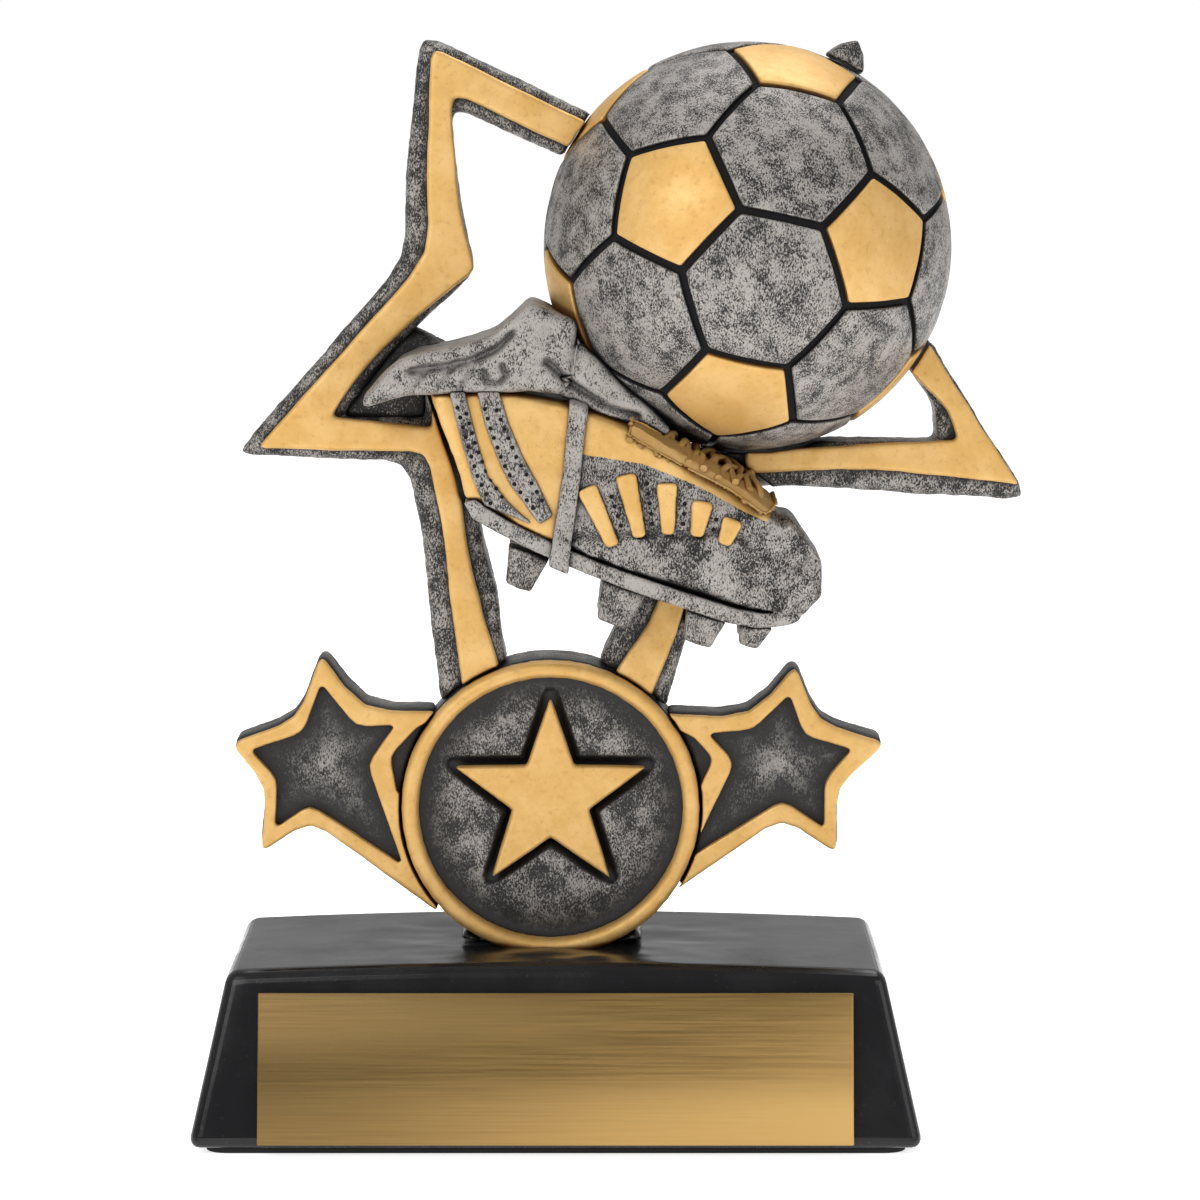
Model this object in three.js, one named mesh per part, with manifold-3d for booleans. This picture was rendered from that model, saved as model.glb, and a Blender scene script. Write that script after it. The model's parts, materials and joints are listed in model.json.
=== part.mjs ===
// Star trophy: a football boot striking a ball inside a five-point star frame, above a
// medallion with two side stars, on a tapered base that carries a blank name plate.
//
// Millimetres, +Z up, the front faces -Y, the origin is the middle of the underside.
// Each sculpted element of the casting is one closed mesh. Heights stack up from the pad:
// base top -> medallion -> star frame, ball and boot, so a changed size moves what stands on it.

import * as THREE from "three";
import { mergeVertices } from "three/addons/utils/BufferGeometryUtils.js";
import Module from "manifold-3d";

const wasm = await Module();
wasm.setup();

// ---------------------------------------------------------------- driving dimensions

const clearance = 0.25; // between two elements where one is cut round the other
const bond = 0.06; // between two flat faces that lie on each other
const through = 30; // half the length of a cutter that goes right through an element
const roundSides = 72; // sides of a round cutter
const turnedSides = 48; // sides of a turned element

const pad = { thickness: 0.6, inset: 1.6, cornerRadius: 2.5 };
const base = {
  width: 73,
  depth: 36,
  height: 16.9,
  sideTaper: 3.3,
  frontTaper: 3.5,
  crown: 1,
  edge: 0.9,
};
const plate = { width: 59, height: 15, thickness: 0.5, tape: 0.25, tapeInset: 1.2, centreUp: 7.9 };
const stem = {
  bottomWidth: 21,
  topWidth: 12,
  height: 8.5,
  front: -3.4,
  back: 8.2,
  edge: 1,
  cornerRadius: 3,
};

const medallion = {
  x: -0.6,
  front: -5,
  back: 4.6,
  radius: 15.1,
  sink: 1.1, // how far the ring is let into the top of the base
  ringWidth: 1.7,
  ringHeight: 2.1,
  dishCentre: 1.5, // depth of the dish below the front of the ring, at the middle
  dishEdge: 2.3, // and beside the ring
  dishKnee: 0.55, // where the dish starts to fall away, as a share of its radius
  dishFillet: 0.9,
  backEdge: 0.8,
};
const emblem = {
  tip: 10.2,
  valley: 4.1,
  up: 1.1, // above the medallion's centre
  groove: 0.55,
  grooveDepth: 0.9,
  front: -4.25,
  edge: 0.3,
};

const sideStar = { rimFront: -4.3, panelFront: -3.1, back: 2.2, edge: 0.5, rimEdge: 0.25 };
const frame = { faceFront: -3.6, front: -2.3, back: 3.5, edge: 0.6, faceEdge: 0.25 };
const web = { front: -0.9, back: 2.4 };

const ball = {
  radius: 20.5,
  seamWidth: 0.85,
  seamDepth: 0.6,
  detail: 5, // each icosahedron edge is split in six, so that a third of an edge is a vertex
  turn: [92.8, -51.2, 126.4], // degrees about X, Y, Z
  touch: [8.4, 24], // where it meets the instep, from the top of the medallion
  away: 58.3, // degrees above +X from the touching point to the ball's centre
};
// The tip of the arm that the ball hides: its point, and the two corners of its root.
const tip = {
  reach: 3.8, // past the ball
  root: 0.6, // as a share of the way out to the ball's surface
  angles: { left: 118, point: 62, right: 14 }, // degrees round the ball's centre
  cornerRadius: 2.4,
};

const boot = {
  x: -5.5,
  up: 12.5, // heel of the sole above the top of the medallion
  letIn: 1.5, // how far its inner side reaches past the middle of the star frame
  pitch: 17.5, // toe down, degrees
  edge: 2.6, // rounding between the sides and the instep
  width: 13.4, // over the ball of the foot
  heelWidth: 10.2,
  waistWidth: 10.8,
  toeWidth: 6,
};
const sole = { flange: 0.3 };
const collar = { width: 10.6 };
const tongue = { width: 9.2 };
// How far each layer stands out of the upper.
const trim = { strap: 0.6, lace: 1, toe: 0.5, rib: 0.45, heelBand: 0.4 };
const stud = { inset: 0.2, taper: 0.9, sides: 6 };
const studs = [
  { name: "heel", along: 3, length: 3.6, radius: 2.3 },
  { name: "middle", along: 13, length: 4.2, radius: 2.6 },
  { name: "ball_of_foot", along: 21.6, length: 3.5, radius: 2.4 },
  { name: "toe", along: 26.6, length: 2.3, radius: 1.9 },
];

// ---------------------------------------------------------------- outlines
// Each point is [across, up, corner radius]. A missing radius is a sharp corner.

// Side stars, measured from the point where the medallion's rim crosses its own mid height.
const leftStarOutline = [
  [-8, 15.8, 1], [-3.9, 10, 3], [4.7, 9.9], [9.5, -5], [3.4, -10.5], [-9.2, -1.2, 2],
  [-14.3, -4.6, 1], [-13.6, 2.1, 2], [-17.2, 6.7, 1], [-10.5, 9.1, 2],
];
const leftStarPanel = [
  [-8, 12.8, 0.5], [-4.5, 8.4, 1], [-0.5, 8.6, 0.5], [-3.4, 4.5, 1], [0.1, -5.8, 0.5],
  [-9.3, 0.4, 1], [-12.8, -2, 0.5], [-12.5, 3, 1], [-15.2, 6, 0.5], [-9.9, 7.8, 1],
];
const leftStarHollow = [[3, 9], [1.6, 8.3, 0.3], [-1.2, 5.4, 1], [-0.4, 1.6], [6, 3]];
const rightStarOutline = [
  [9.6, 14.7, 1], [11.9, 8.9, 2], [18.8, 6.7, 1], [13.8, 2.1, 2], [13.9, -4.7, 1],
  [8.3, -0.9, 2], [-2.9, -8.8], [-8, -3], [-3.5, 9.7], [5.2, 9.3, 3],
];
const rightStarPanel = [
  [9, 11.7, 0.5], [10.5, 7.5, 1], [15.4, 6.1, 0.5], [12.6, 2.8, 1], [12.6, -2, 0.5],
  [8.4, 0.8, 1], [-1.1, -5.1, 0.5], [3.5, 4.7, 1], [0.8, 7.7, 0.5], [5.3, 8.1, 1],
];
const rightStarHollow = [[-2, 8], [-0.6, 7.3, 0.3], [1.4, 5.1, 0.8], [-0.2, 1.8], [-5, 3]];

// Star frame, measured from the top of the medallion. Arms that meet the ball run on into it
// and legs run on down into the medallion, and both are then cut off there.
const frameLeft = [
  [12, 50.6], [-13.4, 62.7, 1.8], [-15.1, 48.4, 3], [-15, 40.4, 3], [-32.3, 20.6, 1.4],
  [-15.2, 20, 2], [-13.6, 13.4, 3], [-12.6, 2.2], [-11.2, -7.6], [-3.4, -7.6], [-5.5, 1.8, 1.5],
  [-6, 6.4, 2], [-8.2, 15.4, 2], [-8.6, 28.9], [-13.2, 28.9], [-13.2, 24.4], [-21.6, 24.4, 0.5],
  [-15.6, 32, 1], [-8.1, 39, 1.2], [-9.8, 45.9, 3], [-10.6, 55.6, 1.8], [9.5, 46.4],
];
const frameRight = [
  [29, 45.6], [26, 40.4], [35.8, 28.7, 0.6], [38, 25.6, 0.6], [38.3, 22, 0.6], [14.8, 22],
  [13.6, 18.6, 2], [8.4, 7.8, 2], [4.9, 1, 1.5], [1.5, -7.6], [10.4, -7.6], [12.9, 1.2],
  [17.6, 15.4, 2], [21.5, 17.6, 2], [47.7, 16, 2.2],
];
const faceLeft = [
  [11, 50.1], [-12.3, 61.4, 1.2], [-12.9, 48.9, 3], [-12.6, 40.9, 3], [-30, 21.4, 0.8],
  [-13, 21.1, 1.6], [-11.5, 13.9, 3], [-10.6, 5.5], [-8.9, -7.6], [-3.6, -7.6], [-5.9, -0.2, 2],
  [-7.4, 4.7], [-8.9, 10.9, 3], [-9.7, 19], [-9.9, 27], [-12.6, 27], [-12.4, 23.5, 0.4],
  [-22.6, 24.6, 0.6], [-18.8, 29.9, 2], [-13.7, 34.7], [-8, 39.3, 0.8], [-9.6, 45.4, 3],
  [-10.5, 57, 1.8], [9, 47.8],
];
const faceRight = [
  [29.2, 44.4], [26.5, 40], [35.6, 28.9, 1], [39.3, 25.2, 1], [40.2, 22.3], [19, 21.2],
  [19, 18.9], [31.4, 19.4, 3], [46.4, 17.8],
];
const faceRightLeg = [
  [16.2, 15.5], [13, 14], [9.4, 3.7, 2], [6.2, -0.7, 2], [3, -7.6], [8, -7.6], [9.6, -3.6],
  [12, 2.4],
];
const webOutline = [[-22.5, 23.6], [-8, 23.6], [-8, 29.5], [-12, 31.6, 1], [-15, 33], [-17, 31]];

// Boot, measured along and above the sole, from the heel end of the sole's underside.
const halfPlan = [
  [-12.5, boot.heelWidth / 2], [-1, boot.heelWidth / 2], [8, boot.waistWidth / 2], [18, boot.width / 2],
  [22, boot.width / 2], [28.5, boot.width / 2 - 1.6], [32.5, boot.toeWidth / 2],
]; // distance along the sole, half width there
const upperProfile = [
  [-11.1, 12.3], [-5.8, 5.2], [-4.6, 3.2], [0, 1.9], [9, 0.6], [18, 0.5], [27, 0.4], [30.2, 1.9],
  [31.6, 4.6], [30.6, 7.6], [27.2, 10.4], [21.5, 12.7], [9.8, 15.2], [1.8, 15.4], [-4.6, 14.6],
];
const soleOutline = [
  [-4.7, 3], [-3.4, 1.7], [0, 0.9, 2], [9, -0.3, 4], [18, -0.4], [27, -0.6, 3], [31.1, 1.6, 1],
  [30.6, 2.6], [27, 1.1, 3], [18, 1.2], [9, 1.3, 4], [0, 2.5, 2], [-3.6, 3.6],
];
const collarOutline = [
  [-16.9, 9.3], [-14.8, 14.4, 2], [-9.3, 17.4, 1.5], [-6.3, 19.6, 1], [-4.2, 23.4], [0.4, 23],
  [1.2, 18.4], [0.9, 16.4], [-1.9, 15.9], [-4.9, 14.6, 1.5], [-10, 13, 2], [-13.2, 11.9, 1],
];
const tongueOutline = [
  [1.2, 21.2], [5, 19.6, 1.5], [9.6, 17.4, 1.5], [12.6, 15.4], [9.8, 15.7, 1], [5, 15.8, 1.5],
  [1.2, 16.3],
];
const strapOutline = [
  [5.6, -3], [7.8, -3], [6.9, 0.8], [5.5, 8.8], [4.1, 15.8], [3.6, 18], [1.9, 18], [2.4, 15.6],
  [3.9, 8.6], [5.1, 0.8],
];
const toeOutline = [[27.5, -3], [36, -3], [36, 14], [25.6, 12.5], [28.6, 6, 2]];
const laceOutline = [[8.4, 14], [8.4, 18], [27.5, 18], [24.4, 10.4, 1], [19.6, 12], [12, 13.2, 2]];
const heelBands = [
  [
    [-9.6, 13.7], [-6.7, 8.9], [-4.6, 5.7], [-2.6, 3.4], [2.2, 3], [-0.6, 4.3], [-3.2, 6.1],
    [-5.4, 9.3], [-8, 13.7],
  ],
  [
    [-7, 14.5], [-5, 11.2], [-2.8, 8.3], [-0.9, 6.2], [3.1, 3.3], [4, 4.4], [1.6, 7], [-0.5, 9],
    [-2.9, 11.8], [-5, 15],
  ],
];

// Five ribs fan out over the forefoot from one point below the sole.
const ribFan = {
  along: 20,
  up: -7,
  first: 132, // degrees above the toe's direction
  last: 86,
  inner: 14, // from the point to where each rib starts
  reach: [20.2, 20.2, 18.9, 17.4, 16.5], // and to where it ends
  innerWidth: 1.1,
  outerWidth: 1.9,
  cornerRadius: 0.3,
};

// ---------------------------------------------------------------- finishes

const finish = (color, roughness, metalness) =>
  new THREE.MeshStandardMaterial({ color, roughness, metalness });
const finishes = {
  gloss_black: finish(0x0d0d0e, 0.15, 0),
  antique_silver: finish(0x6d6c6e, 0.5, 0.4),
  light_silver: finish(0x98989a, 0.5, 0.4),
  satin_gold: finish(0xd9a95b, 0.4, 0.55),
  plate_gold: finish(0xb08a4a, 0.3, 0.9),
  tape_white: finish(0xe8e6df, 0.7, 0),
  felt_black: finish(0x151515, 0.95, 0),
};

// ---------------------------------------------------------------- solids

// A closed geometry as a solid that can be joined and cut.
function solid(geometry) {
  const bare = geometry.clone();
  bare.deleteAttribute("normal");
  bare.deleteAttribute("uv");
  const merged = mergeVertices(bare, 1e-4);
  const vertProperties = new Float32Array(merged.attributes.position.array);
  const triVerts = new Uint32Array(merged.index.array);
  return new wasm.Manifold(new wasm.Mesh({ numProp: 3, vertProperties, triVerts }));
}

function geometryOf(body) {
  const { vertProperties, triVerts } = body.getMesh();
  return new THREE.BufferGeometry()
    .setAttribute("position", new THREE.BufferAttribute(vertProperties, 3))
    .setIndex(new THREE.BufferAttribute(triVerts, 1));
}

const cut = (geometry, ...cutters) =>
  geometryOf(cutters.reduce((body, cutter) => body.subtract(solid(cutter)), solid(geometry)));
const common = (first, second) => geometryOf(solid(first).intersect(solid(second)));
const join = (first, ...others) =>
  geometryOf(others.reduce((body, other) => body.add(solid(other)), solid(first)));

// A closed outline with rounded corners: each corner is a curve between the points that lie
// its radius before it and after it.
function outline(points) {
  const shape = new THREE.Shape();
  points.forEach(([x, y, radius = 0], i) => {
    const corner = new THREE.Vector2(x, y);
    const toward = ([px, py]) => {
      const way = new THREE.Vector2(px, py).sub(corner);
      return corner.clone().addScaledVector(way.normalize(), radius);
    };
    const start = toward(points.at(i - 1));
    const end = toward(points[(i + 1) % points.length]);
    if (i === 0) shape.moveTo(start.x, start.y);
    else shape.lineTo(start.x, start.y);
    if (radius > 0) shape.quadraticCurveTo(x, y, end.x, end.y);
  });
  return shape;
}

function starOutline(tip, valley) {
  const points = Array.from({ length: 10 }, (_, i) => {
    const angle = Math.PI / 2 + (i * Math.PI) / 5;
    const reach = i % 2 ? valley : tip;
    return [reach * Math.cos(angle), reach * Math.sin(angle)];
  });
  return outline(points);
}

// A plate in the XZ plane from y = back to y = front, its edges bevelled, grown on all sides.
function slab(shape, back, front, { edge = 0, grow = 0, curveSegments = 2, bevelSegments = 1 } = {}) {
  return new THREE.ExtrudeGeometry(shape, {
    depth: back - front + 2 * grow - 2 * edge,
    bevelEnabled: edge + grow > 0,
    bevelThickness: edge,
    bevelSize: edge,
    bevelOffset: grow - edge,
    bevelSegments,
    curveSegments,
  })
    .rotateX(Math.PI / 2)
    .translate(0, back + grow - edge, 0);
}

// A disc along Y, grown on all sides.
function disc(radius, back, front, grow = 0) {
  return new THREE.CylinderGeometry(radius + grow, radius + grow, back - front + 2 * grow, roundSides)
    .translate(0, (back + front) / 2, 0);
}

function piece(name, geometry, material) {
  const mesh = new THREE.Mesh(geometry, finishes[material]);
  mesh.name = name;
  return mesh;
}

function group(position, ...children) {
  const made = new THREE.Group();
  made.position.set(...position);
  if (children.length) made.add(...children);
  return made;
}

// ---------------------------------------------------------------- heights

const baseTop = pad.thickness + base.height + base.crown;
const medallionUp = baseTop - medallion.sink + medallion.radius;
const medallionTop = medallionUp + medallion.radius;
const away = THREE.MathUtils.degToRad(ball.away);
const ballCentre = [
  ball.touch[0] + ball.radius * Math.cos(away),
  0,
  ball.touch[1] + ball.radius * Math.sin(away),
]; // from the top of the medallion

// ---------------------------------------------------------------- base

// The front view is a trapezium with a crowned top; its front and back lean in the same way.
function baseBlank(grow = 0) {
  const half = base.width / 2;
  const halfTop = half - base.sideTaper;
  const arcRadius = (halfTop ** 2 + base.crown ** 2) / (2 * base.crown);
  const halfAngle = Math.asin(halfTop / arcRadius);
  const shape = new THREE.Shape();
  shape.moveTo(-half, 0);
  shape.lineTo(half, 0);
  const arcUp = base.height + base.crown - arcRadius;
  shape.absarc(0, arcUp, arcRadius, Math.PI / 2 - halfAngle, Math.PI / 2 + halfAngle);
  const blank = slab(shape, base.depth / 2, -base.depth / 2, {
    edge: base.edge,
    grow,
    curveSegments: 12,
    bevelSegments: 2,
  });
  const lean = base.frontTaper / (base.depth / 2) / base.height;
  const at = blank.attributes.position;
  for (let i = 0; i < at.count; i++) at.setY(i, at.getY(i) * (1 - lean * at.getZ(i)));
  return blank;
}

const baseUp = pad.thickness + bond;

function baseBlock() {
  const seat = disc(medallion.radius, medallion.back, medallion.front, clearance)
    .translate(medallion.x, 0, medallionUp - baseUp);
  const mesh = piece("base_block", cut(baseBlank(), seat), "gloss_black");
  mesh.position.z = baseUp;
  return mesh;
}

function feltPad() {
  const halfWidth = base.width / 2 - pad.inset;
  const halfDepth = base.depth / 2 - pad.inset;
  const corners = [[-1, -1], [1, -1], [1, 1], [-1, 1]];
  const shape = outline(corners.map(([x, y]) => [x * halfWidth, y * halfDepth, pad.cornerRadius]));
  const felt = new THREE.ExtrudeGeometry(shape, { depth: pad.thickness, bevelEnabled: false });
  return piece("felt_pad", felt, "felt_black");
}

function namePlate() {
  const lean = Math.atan(base.frontTaper / base.height);
  const faceY = -base.depth / 2 + base.frontTaper * (plate.centreUp / base.height);
  const made = group([0, faceY, baseUp + plate.centreUp]);
  made.rotation.x = -lean;
  const tapeFront = -bond - plate.tape;
  const tapeWidth = plate.width - 2 * plate.tapeInset;
  const tapeHeight = plate.height - 2 * plate.tapeInset;
  const tape = new THREE.BoxGeometry(tapeWidth, plate.tape, tapeHeight)
    .translate(0, -bond - plate.tape / 2, 0);
  const face = new THREE.BoxGeometry(plate.width, plate.thickness, plate.height)
    .translate(0, tapeFront - bond - plate.thickness / 2, 0);
  made.add(piece("plate_tape", tape, "tape_white"), piece("name_plate", face, "plate_gold"));
  return made;
}

// The black neck behind and beside the foot of the medallion, cut round it and to the base's top.
function figureStem() {
  const foot = stem.bottomWidth / 2;
  const head = stem.topWidth / 2;
  const round = stem.cornerRadius;
  const shape = outline([[-foot, 0], [foot, 0], [head, stem.height, round], [-head, stem.height, round]]);
  const blank = slab(shape, stem.back, stem.front, { edge: stem.edge })
    .translate(medallion.x, 0, baseTop - base.crown - stem.edge);
  const seat = disc(medallion.radius, medallion.back, medallion.front, clearance)
    .translate(medallion.x, 0, medallionUp);
  const under = baseBlank(bond).translate(0, 0, baseUp);
  return piece("figure_stem", cut(blank, under, seat), "gloss_black");
}

// ---------------------------------------------------------------- medallion and side stars

const vector = (pairs) => pairs.map(([r, y]) => new THREE.Vector2(r, y));

function medallionPieces() {
  const { front, back, radius, ringWidth, ringHeight, dishCentre, dishEdge, dishKnee } = medallion;
  const { dishFillet, backEdge } = medallion;
  const shoulder = front + ringHeight + bond;
  const dishRadius = radius - ringWidth;
  const body = new THREE.LatheGeometry(
    vector([
      [0, front + dishCentre],
      [dishRadius * dishKnee, front + (dishCentre * 2 + dishEdge) / 3],
      [dishRadius - dishFillet, front + dishEdge],
      [dishRadius - bond, front + ringHeight],
      [dishRadius - bond, shoulder],
      [radius, shoulder],
      [radius, back - backEdge],
      [radius - backEdge, back],
      [0, back],
    ]),
    turnedSides,
  );
  const grooveFront = front + dishCentre - clearance;
  const emblemBack = front + dishCentre + emblem.grooveDepth;
  const tipGrowth = emblem.groove / Math.sin(Math.PI / 10);
  const grooveShape = starOutline(emblem.tip + tipGrowth, emblem.valley + emblem.groove);
  const groove = slab(grooveShape, emblemBack, grooveFront);
  const starShape = starOutline(emblem.tip, emblem.valley);
  const star = slab(starShape, emblemBack - bond, emblem.front, { edge: emblem.edge });

  const crest = ringWidth / 2;
  const crestY = front + crest;
  const round = Array.from({ length: 7 }, (_, i) => {
    const angle = (i * Math.PI) / 6;
    return [radius - crest - crest * Math.cos(angle), crestY - crest * Math.sin(angle)];
  });
  const ringBack = front + ringHeight;
  const ring = [[dishRadius, ringBack], ...round, [radius, ringBack], [dishRadius, ringBack]];
  return group(
    [medallion.x, 0, medallionUp],
    piece("medallion_body", cut(body, groove.translate(0, 0, emblem.up)), "antique_silver"),
    piece("medallion_ring", new THREE.LatheGeometry(vector(ring), turnedSides), "satin_gold"),
    piece("medallion_star", star.translate(0, 0, emblem.up), "satin_gold"),
  );
}

function sideStarPieces(side, rimX, star, panel, hollow) {
  const medal = disc(medallion.radius, through, -through, clearance).translate(-rimX, 0, 0);
  const body = slab(outline(star), sideStar.back, sideStar.panelFront, { edge: sideStar.edge });
  const rimBack = sideStar.panelFront - bond;
  const rim = slab(outline(star), rimBack, sideStar.rimFront, { edge: sideStar.rimEdge });
  const open = (shape) => slab(outline(shape), through, -through);
  return group(
    [medallion.x + rimX, 0, medallionUp],
    piece(`${side}_star_body`, cut(body, medal), "antique_silver"),
    piece(`${side}_star_rim`, cut(rim, medal, open(panel), open(hollow)), "satin_gold"),
  );
}

// ---------------------------------------------------------------- ball

// A football is an icosahedron with its corners cut off at a third of each edge: a pentagon
// round every corner and a hexagon on every face. A panel is a slice of the sphere inside a
// pyramid from the centre through the panel's edges, drawn in by half a seam.
function ballPieces() {
  const turn = new THREE.Euler(...ball.turn.map(THREE.MathUtils.degToRad));
  const turned = new THREE.Matrix4().makeRotationFromEuler(turn);
  const sphere = (radius) => new THREE.IcosahedronGeometry(radius, ball.detail).applyMatrix4(turned);
  const corner = new THREE.IcosahedronGeometry(1, 0).attributes.position;
  const faces = Array.from({ length: 20 }, (_, i) =>
    [0, 1, 2].map((k) => new THREE.Vector3().fromBufferAttribute(corner, 3 * i + k).applyEuler(turn)));
  const third = (from, to) => from.clone().multiplyScalar(2).add(to).normalize();

  // The pyramid is a cone with one side for each edge; its long axis is the panel's own.
  function wedge(middle, edgePoint, sides) {
    const axis = middle.clone().normalize();
    const reach = ball.radius * 2;
    const cornerRadius = reach * Math.tan(axis.angleTo(edgePoint));
    const inset = (ball.seamWidth / 2) * (reach / ball.radius) / Math.cos(Math.PI / sides);
    const pyramid = new THREE.ConeGeometry(cornerRadius - inset, reach, sides)
      .rotateX(-Math.PI / 2)
      .translate(0, 0, reach / 2);
    const up = edgePoint.clone().addScaledVector(axis, -edgePoint.dot(axis)).normalize();
    const side = new THREE.Vector3().crossVectors(up, axis);
    return pyramid.applyMatrix4(new THREE.Matrix4().makeBasis(side, up, axis));
  }

  const outer = sphere(ball.radius);
  const floor = ball.radius - ball.seamDepth;
  const hexagons = faces.map(([a, b, c]) =>
    common(outer, wedge(a.clone().add(b).add(c), third(a, b), 6)));
  const silver = join(sphere(floor), ...hexagons);

  const middles = [];
  const pentagons = [];
  faces.flatMap(([a, b, c]) => [[a, b], [b, c], [c, a]]).forEach(([middle, next]) => {
    if (middles.some((known) => known.distanceTo(middle) < 0.1)) return;
    middles.push(middle);
    const number = String(middles.length).padStart(2, "0");
    const shell = cut(common(outer, wedge(middle, third(middle, next), 5)), sphere(floor + bond));
    pentagons.push(piece(`ball_pentagon_${number}`, shell, "satin_gold"));
  });
  return group(ballCentre, piece("ball", silver, "antique_silver"), ...pentagons);
}

const ballCutter = () =>
  new THREE.SphereGeometry(ball.radius + clearance, 64, 40).translate(...ballCentre);

// ---------------------------------------------------------------- boot

function halfWidthAt(along) {
  const i = halfPlan.findIndex(([place]) => place > along);
  const [[from, before], [to, after]] = [halfPlan[i - 1], halfPlan[i]];
  return THREE.MathUtils.mapLinear(along, from, to, before, after);
}

// The boot's outline from above, as an upright prism that trims the side view's prism.
function planBlank(grow) {
  const right = halfPlan.map(([along, half]) => [along, -half]);
  const left = halfPlan.toReversed();
  return new THREE.ExtrudeGeometry(outline([...right, ...left]), {
    depth: 2 * through,
    bevelEnabled: grow > 0,
    bevelThickness: 0,
    bevelSize: 0,
    bevelOffset: grow,
    bevelSegments: 1,
  }).translate(0, 0, -through);
}

function upperBlank(grow = 0) {
  const half = boot.width / 2;
  const side = slab(outline(upperProfile), half, -half, { edge: boot.edge, grow, bevelSegments: 2 });
  return common(side, planBlank(grow));
}

function soleBlank(grow = 0) {
  const half = boot.width / 2 + sole.flange;
  return common(slab(outline(soleOutline), half, -half, { grow }), planBlank(sole.flange + grow));
}

// A thin layer on the upper, inside an outline seen from the side.
function skin(points, height, back = boot.width) {
  const prism = slab(outline(points), back, -boot.width);
  return cut(common(prism, upperBlank(height)), upperBlank(bond), soleBlank(bond));
}

// The space that such a layer takes, for cutting what lies beside it.
function skinSpace(points, height) {
  const prism = slab(outline(points), boot.width, -boot.width, { grow: clearance });
  return common(prism, upperBlank(height + clearance));
}

// A band round the upper and the sole together.
function band(points, height) {
  const prism = slab(outline(points), boot.width, -boot.width);
  const layer = common(prism, join(upperBlank(height), soleBlank(height)));
  return cut(layer, upperBlank(bond), soleBlank(bond));
}

function studBlank({ along, length, radius }, side, grow = 0) {
  const row = side * (halfWidthAt(along) - radius - stud.inset);
  const tread = radius - stud.taper;
  return new THREE.CylinderGeometry(radius + grow, tread + grow, length + 2 * grow, stud.sides)
    .rotateX(Math.PI / 2)
    .translate(along, row, -length / 2);
}

const across = (width, points, grow = 0) => slab(outline(points), width / 2, -width / 2, { grow });

function ribOutline(i) {
  const share = i / (ribFan.reach.length - 1);
  const angle = THREE.MathUtils.degToRad(THREE.MathUtils.lerp(ribFan.first, ribFan.last, share));
  const way = new THREE.Vector2(Math.cos(angle), Math.sin(angle));
  const sideways = new THREE.Vector2(-way.y, way.x);
  const at = (reach, half) => {
    const point = new THREE.Vector2(ribFan.along, ribFan.up);
    point.addScaledVector(way, reach).addScaledVector(sideways, half);
    return [point.x, point.y, ribFan.cornerRadius];
  };
  const near = ribFan.innerWidth / 2;
  const far = ribFan.outerWidth / 2;
  const reach = ribFan.reach[i];
  return [at(ribFan.inner, near), at(ribFan.inner, -near), at(reach, -far), at(reach, far)];
}

function bootPieces() {
  const made = group([boot.x, boot.letIn - boot.width / 2, boot.up]);
  made.rotation.y = THREE.MathUtils.degToRad(boot.pitch);
  made.updateMatrix();
  const ballHere = ballCutter().applyMatrix4(made.matrix.clone().invert());
  const add = (name, geometry, material) => made.add(piece(name, geometry, material));

  const collarBlank = (grow) => across(collar.width, collarOutline, grow);
  const tongueBlank = (grow) => across(tongue.width, tongueOutline, grow);
  const neighbours = [ballHere, collarBlank(clearance), tongueBlank(clearance)];
  const upper = cut(upperBlank(), soleBlank(bond), ...neighbours);
  add("boot_upper", upper, "satin_gold");
  add("boot_collar", cut(collarBlank(0), ballHere), "light_silver");
  add("boot_tongue", cut(tongueBlank(0), ballHere, collarBlank(clearance)), "light_silver");
  add("boot_sole", soleBlank(), "antique_silver");
  const studSpaces = studs.flatMap((one) => [-1, 1].map((side) => studBlank(one, side, clearance)));
  add("boot_strap", cut(band(strapOutline, trim.strap), ...neighbours, ...studSpaces), "light_silver");
  add("boot_toe_cap", skin(toeOutline, trim.toe), "antique_silver");
  const besideLaces = [...neighbours, skinSpace(toeOutline, trim.toe)];
  add("boot_laces", cut(skin(laceOutline, trim.lace), ...besideLaces), "satin_gold");
  heelBands.forEach((points, i) => {
    const layer = cut(skin(points, trim.heelBand, 0), ...neighbours);
    add(`boot_heel_band_${i + 1}`, layer, "antique_silver");
  });
  const besideRibs = [skinSpace(laceOutline, trim.lace), skinSpace(toeOutline, trim.toe)];
  ribFan.reach.forEach((_, i) => {
    add(`boot_rib_${i + 1}`, cut(skin(ribOutline(i), trim.rib, 0), ...besideRibs), "satin_gold");
  });
  studs.forEach((one) => {
    for (const [name, side] of [["outer", -1], ["inner", 1]]) {
      add(`boot_stud_${one.name}_${name}`, cut(studBlank(one, side), soleBlank(bond)), "antique_silver");
    }
  });
  const spaces = [
    upperBlank(trim.strap + clearance),
    skinSpace(laceOutline, trim.lace),
    soleBlank(clearance),
    collarBlank(clearance),
    tongueBlank(clearance),
    ...studSpaces,
  ];
  return { made, spaces: spaces.map((space) => space.applyMatrix4(made.matrix)) };
}

// ---------------------------------------------------------------- star frame

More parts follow.
